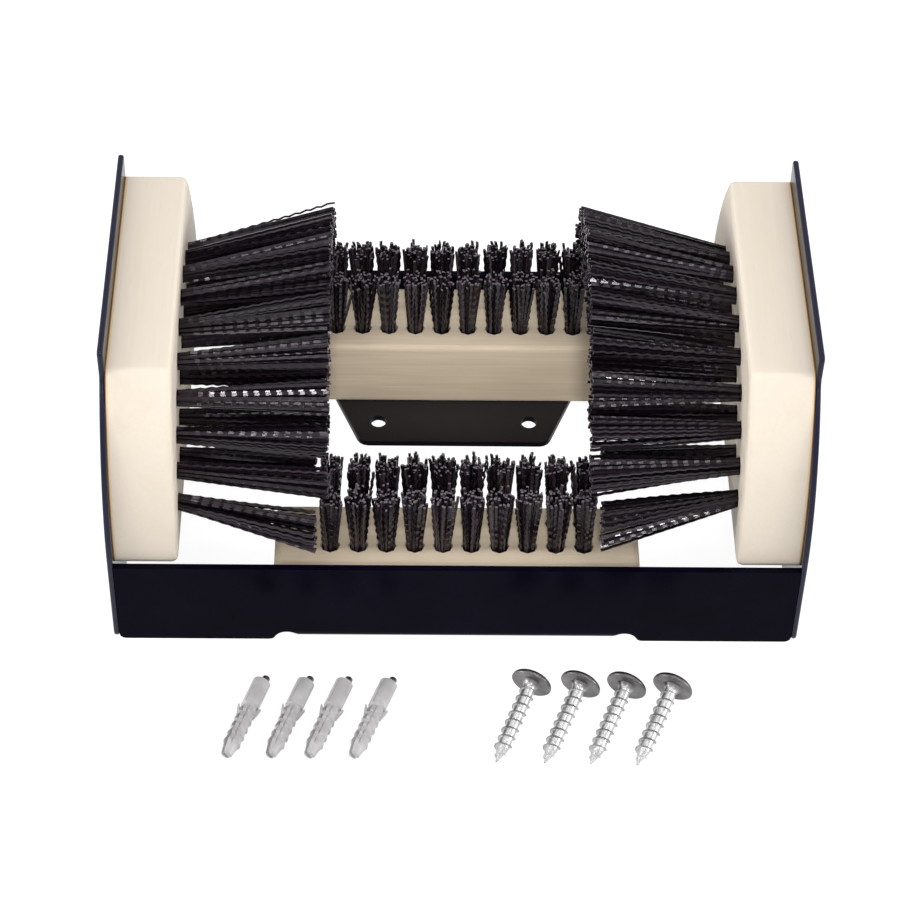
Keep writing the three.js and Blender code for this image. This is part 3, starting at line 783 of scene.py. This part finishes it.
def mounting_screw(number, x, ahead, turn):
    """A screw with a wide low dome, a cross recess, a helical thread and a point."""
    head, height, edge = 8.85, 4.2, 0.7
    shank, length, point = 2.75, 40.0, 7.0
    thread, pitch, thread_start, tip = 0.95, 4.1, 2.6, 0.35
    dome_steps = 8
    dome = []
    for k in range(dome_steps + 1):
        angle = math.pi / 2 * k / dome_steps
        dome.append((head * math.sin(angle), -edge - (height - edge) * math.cos(angle)))
    rows = dome + [
        (head - 0.02, -0.35), (head - 0.35, 0.0), (shank + 1.6, 0.0), (shank + 0.7, 0.8),
        (shank, 2.0), (shank, 3.2), (0.0, 3.2),
    ]
    body = new_object(f"mounting_screw_dressed_{number}", ring_mesh("head", rows, 48), zinc)
    recess, recess_z, recess_turn = (7.4, 1.7, 3.4), 0.7 - height, 0.4
    arms = [
        box_mesh("arm", recess, (0, 0, recess_z), math.pi / 2 * quarter + recess_turn)
        for quarter in (0, 1)
    ]
    carve(body, arms)

    def core(z):
        share = max(0.0, (z - (length - point)) / point)
        return shank * (1 - share) + tip * share

    def depth(z):
        share = max(0.0, (z - (length - point)) / point)
        return thread * (1 - 0.55 * share)

    made = threaded(core, depth, pitch, thread_start, length, 28, 12)
    mesh = bpy.data.meshes.new("shank")
    made.to_mesh(mesh)
    made.free()
    shank_piece = new_object("shank", mesh, zinc)
    joined = join(body, shank_piece)
    smooth(joined, 35)
    # Painted shade on the zinc: 1 on the head and 0.8 on the thread's crests
    painted_shade_mask = joined.data.attributes.new("head", "FLOAT", "POINT")
    painted_shade_mask.data.foreach_set("value", [
        1.0 if vertex.co.z < 0.6 * MM else 0.8 * (vertex.co.xy.length > (shank + 0.4) * MM)
        for vertex in joined.data.vertices
    ])
    # It lies on its head's rim and its thread
    tilt = math.atan2(head - (shank + thread), length - point)
    laid(joined, x, ahead, head * math.cos(tilt), turn, tilt)
    finish(joined, f"mounting_screw_{number}")


def join(first, *others):
    """Joins objects at the origin into the first one's mesh."""
    made = bmesh.new()
    made.from_mesh(first.data)
    for other in others:
        made.from_mesh(other.data)
    bmesh.ops.recalc_face_normals(made, faces=made.faces)
    made.to_mesh(first.data)
    made.free()
    for other in others:
        bpy.data.objects.remove(other)
    return first


def wall_plug(number, x, ahead, turn):
    """A plug with a plain sleeve, five ribs, three windows, a forked end and two barbs."""
    radius, sleeve = PLUG_RADIUS, PLUG_SLEEVE
    ribs, rib_pitch = 5, 4.2
    rows = [
        (0.0, 0.25), (1.85, 0.25), (2.1, 0.0), (radius - 0.15, 0.0), (radius, 0.2), (radius, sleeve),
    ]
    for rib in range(ribs):
        z = sleeve + rib * rib_pitch
        rows += [
            (radius - 0.62, z + 0.55), (radius - 0.5, z + 1.8), (radius - 0.12, z + 3.4), (radius, z + 4.05),
        ]
    rows += [
        (radius - 0.55, 35.6), (2.9, 37.6), (2.35, 40.8), (1.7, 41.2), (0.55, 41.25), (0.5, 41.9),
        (0.0, 42.0),
    ]
    body = new_object(f"wall_plug_dressed_{number}", ring_mesh("plug", rows, 32), grey_nylon)
    slit_turn, groove_turn = math.radians(43), math.radians(8)
    cutters = []
    for z, size in ((17.4, 2.6), (21.6, 2.6), (25.8, 2.6), (35.8, 13.0)):
        cutters.append(box_mesh("window", (1.7, 9.0, size), (0, 0, z), slit_turn))
    for side in (-1, 1):
        centre = (side * 1.1, radius, sleeve + 14)
        cutters.append(box_mesh("groove", (0.7, 2.0, 25.0), centre, groove_turn))
    cutters.append(box_mesh("groove", (0.45, 0.9, 13.0), (-1.2, radius, 7.6), groove_turn))
    bore = ring_mesh("bore", [(0.0, -1.0), (2.0, -1.0), (2.0, 12.3), (0.0, 12.3)], 20)
    bore.transform(Matrix.Translation((PIN_OFFSET * MM, 0, 0)))
    cutters.append(bore)
    carve(body, cutters)
    joined = join(body, wing(-1), wing(1))
    smooth(joined, 40)
    laid(joined, x, ahead, radius, turn, 0)
    finish(joined, f"wall_plug_{number}")


def wing(side):
    """One springy barb beside the sleeve's end, its tip towards the mouth."""
    radius, sleeve = PLUG_RADIUS, PLUG_SLEEVE
    half_thickness, rounding = 0.8, 0.18
    outline = [
        (radius - 0.9, sleeve + 6.4), (radius - 0.1, sleeve + 5.8), (radius + 0.75, sleeve + 2.6),
        (5.15, sleeve + 0.1), (4.75, sleeve - 0.1), (radius - 0.2, sleeve + 1.6),
        (radius - 0.9, sleeve + 2.6),
    ]
    made = bmesh.new()
    back = [made.verts.new((side * x * MM, -half_thickness * MM, z * MM)) for x, z in outline]
    front = [made.verts.new((side * x * MM, half_thickness * MM, z * MM)) for x, z in outline]
    made.faces.new(back)
    made.faces.new(list(reversed(front)))
    for k in range(len(outline)):
        n = (k + 1) % len(outline)
        made.faces.new((back[k], back[n], front[n], front[k]))
    bmesh.ops.recalc_face_normals(made, faces=made.faces)
    bmesh.ops.bevel(made, geom=list(made.edges), offset=rounding * MM, segments=2, affect="EDGES")
    mesh = bpy.data.meshes.new("wing")
    made.to_mesh(mesh)
    made.free()
    return new_object("wing", mesh, grey_nylon)


def plug_pin(number, x, ahead, turn):
    """The round steel pin that stands a little out of a plug's mouth."""
    rows = [(0.0, -3.2), (1.35, -3.2), (1.62, -2.95), (1.7, -2.7), (1.7, 12.0), (0.0, 12.0)]
    mesh = ring_mesh("pin", rows, 28)
    mesh.transform(Matrix.Translation((PIN_OFFSET * MM, 0, 0)))
    pin = new_object(f"plug_pin_dressed_{number}", mesh, dark_steel)
    smooth(pin, 40)
    laid(pin, x, ahead, PLUG_RADIUS, turn, 0)
    finish(pin, f"plug_pin_{number}")


for name in ("left_end_plate", "right_end_plate", "front_rail", "rear_rail"):
    plate = "plate" in name
    dress(name, plate_coat if plate else rail_coat)
    ease_edges(name, 0.9 if plate else 0.6, 3, clamp=not plate)
for name, timber in (
    ("left_brush_block", side_wood), ("right_brush_block", side_wood),
    ("front_brush_block", bottom_wood), ("rear_brush_block", bottom_wood),
):
    dress(name, timber)
    ease_edges(name, 0.3, 2, 40)
for name in nodes:
    if "block_screw" in name:
        dress(name, zinc)
        ease_edges(name, 0.15)

side_bristles("left_bristles_dressed", "left_bristles", True, seed=11)
side_bristles("right_bristles_dressed", "right_bristles", False, seed=23)
bottom_bristles("front_bristles_dressed", "front_bristles", FRONT_ROW_Y, seed=37)
bottom_bristles("rear_bristles_dressed", "rear_bristles", REAR_ROW_Y, seed=53)

screw_places = ((31.4, 31.2, 22.6), (52.1, 31.9, 23.4), (71.6, 32.4, 23.9), (91.1, 32.8, 24.3))
plug_places = ((-82.7, 27.2, 19.0), (-64.0, 27.3, 19.5), (-47.6, 27.4, 20.0), (-28.8, 27.5, 20.5))
for number, spot in enumerate(screw_places, 1):
    mounting_screw(number, *spot)
for number, spot in enumerate(plug_places, 1):
    wall_plug(number, *spot)
    plug_pin(number, *spot)


def seen_white(tree, seen, lighting):
    """A shader that the camera and reflections see as one thing, and that lights the scene as another."""
    path = tree.nodes.new("ShaderNodeLightPath")
    ray = path.outputs["Is Camera Ray"]
    for kind in ("Is Glossy Ray", "Is Transmission Ray"):
        either = tree.nodes.new("ShaderNodeMath")
        either.operation = "MAXIMUM"
        tree.links.new(ray, either.inputs[0])
        tree.links.new(path.outputs[kind], either.inputs[1])
        ray = either.outputs[0]
    blend = tree.nodes.new("ShaderNodeMixShader")
    tree.links.new(ray, blend.inputs[0])
    tree.links.new(lighting, blend.inputs[1])
    tree.links.new(seen, blend.inputs[2])
    return blend.outputs[0]


def floor():
    """A pale floor that is seen near white and keeps the object's shadow."""
    mesh = bpy.data.meshes.new("floor")
    size = 3.0
    corners = [(-size, -size, 0), (size, -size, 0), (size, size, 0), (-size, size, 0)]
    mesh.from_pydata(corners, [], [(0, 1, 2, 3)])
    material = bpy.data.materials.new("floor_white")
    material.use_nodes = True
    tree = material.node_tree
    tree.nodes.clear()
    plain = tree.nodes.new("ShaderNodeBsdfDiffuse")
    plain.inputs["Color"].default_value = grey(0.8)
    shaded = tree.nodes.new("ShaderNodeBsdfDiffuse")
    shaded.inputs["Color"].default_value = grey(0.28)
    glow = tree.nodes.new("ShaderNodeEmission")
    glow.inputs["Strength"].default_value = 0.93
    both = tree.nodes.new("ShaderNodeAddShader")
    tree.links.new(shaded.outputs[0], both.inputs[0])
    tree.links.new(glow.outputs[0], both.inputs[1])
    output = tree.nodes.new("ShaderNodeOutputMaterial")
    tree.links.new(seen_white(tree, both.outputs[0], plain.outputs[0]), output.inputs["Surface"])
    new_object("floor", mesh, material)


def world(strength):
    """A soft even world of a strength, seen as plain white."""
    backdrop = bpy.data.worlds.new("studio")
    bpy.context.scene.world = backdrop
    backdrop.use_nodes = True
    tree = backdrop.node_tree
    tree.nodes.clear()
    soft = tree.nodes.new("ShaderNodeBackground")
    soft.inputs["Strength"].default_value = strength
    white = tree.nodes.new("ShaderNodeBackground")
    white.inputs["Strength"].default_value = 1.0
    output = tree.nodes.new("ShaderNodeOutputWorld")
    tree.links.new(seen_white(tree, white.outputs[0], soft.outputs[0]), output.inputs["Surface"])


def hang(name, data, at, towards):
    """Puts a light at one point and turns it towards another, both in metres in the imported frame."""
    piece = bpy.data.objects.new(name, data)
    piece.location = at
    piece.rotation_euler = (Vector(towards) - Vector(at)).to_track_quat("-Z", "Y").to_euler()
    bpy.context.scene.collection.objects.link(piece)


def lamp(name, at, towards, width, height, power):
    """A rectangular area light, width and height in metres."""
    data = bpy.data.lights.new(name, "AREA")
    data.shape = "RECTANGLE"
    data.size = width
    data.size_y = height
    data.energy = power
    hang(name, data, at, towards)


def snoot(at, towards, cone, power):
    """A narrow soft spot that reaches down between the side brushes. cone is in degrees."""
    data = bpy.data.lights.new("snoot", "SPOT")
    data.spot_size = math.radians(cone)
    data.spot_blend = 0.4
    data.shadow_soft_size = 0.09
    data.energy = power
    hang("snoot", data, at, towards)


def camera():
    """The photograph's view: a long lens from the front and above, hardly turned."""
    pitch, yaw, roll = (math.radians(angle) for angle in (46.58, 1.43, 1.44))
    right = Vector((math.cos(yaw), -math.sin(yaw), 0))
    forward = Vector((math.cos(pitch) * math.sin(yaw), math.cos(pitch) * math.cos(yaw), -math.sin(pitch)))
    up = Vector((math.sin(pitch) * math.sin(yaw), math.sin(pitch) * math.cos(yaw), math.cos(pitch)))
    rolled_right = right * math.cos(roll) + up * math.sin(roll)
    rolled_up = up * math.cos(roll) - right * math.sin(roll)
    data = bpy.data.cameras.new("camera")
    data.sensor_width = 36
    data.lens = 115.53
    data.clip_end = 20
    distance = 1.2445
    piece = bpy.data.objects.new("camera", data)
    bpy.context.scene.collection.objects.link(piece)
    matrix = Matrix((rolled_right, rolled_up, -forward)).transposed().to_4x4()
    matrix.translation = place(-3.16, -36.1, 60) - forward * distance
    piece.matrix_world = matrix
    bpy.context.scene.camera = piece


floor()
world(0.52)
AIM = (0, MIDDLE_Y, 0.05)
lamp("front", (-0.1, -1.35, 1.3), AIM, 0.5, 0.4, 1.6)
for side in (-1, 1):
    lamp("side", (side * 1.4, -0.3, 0.37), (0, MIDDLE_Y, 0.08), 0.5, 0.22, 8.5)
    lamp("strip", (side * 0.6, -0.15, 1.4), AIM, 0.06, 2.2, 4.0)
for x, y, z in ((-0.5, 0.35, 1.4), (0.5, 0.3, 1.4), (-0.35, -0.45, 1.5), (0.4, -0.5, 1.45)):
    lamp("spark", (x, y, z), AIM, 0.1, 0.1, 0.8)
snoot((0.0, -1.25, 1.15), (0, MIDDLE_Y + 0.05, 0.03), 8.0, 56.0)
camera()
bpy.context.scene.view_settings.view_transform = "Standard"


def plain(box):
    """A box as plain lists of numbers."""
    return [[round(value, 7) for value in corner] for corner in box]
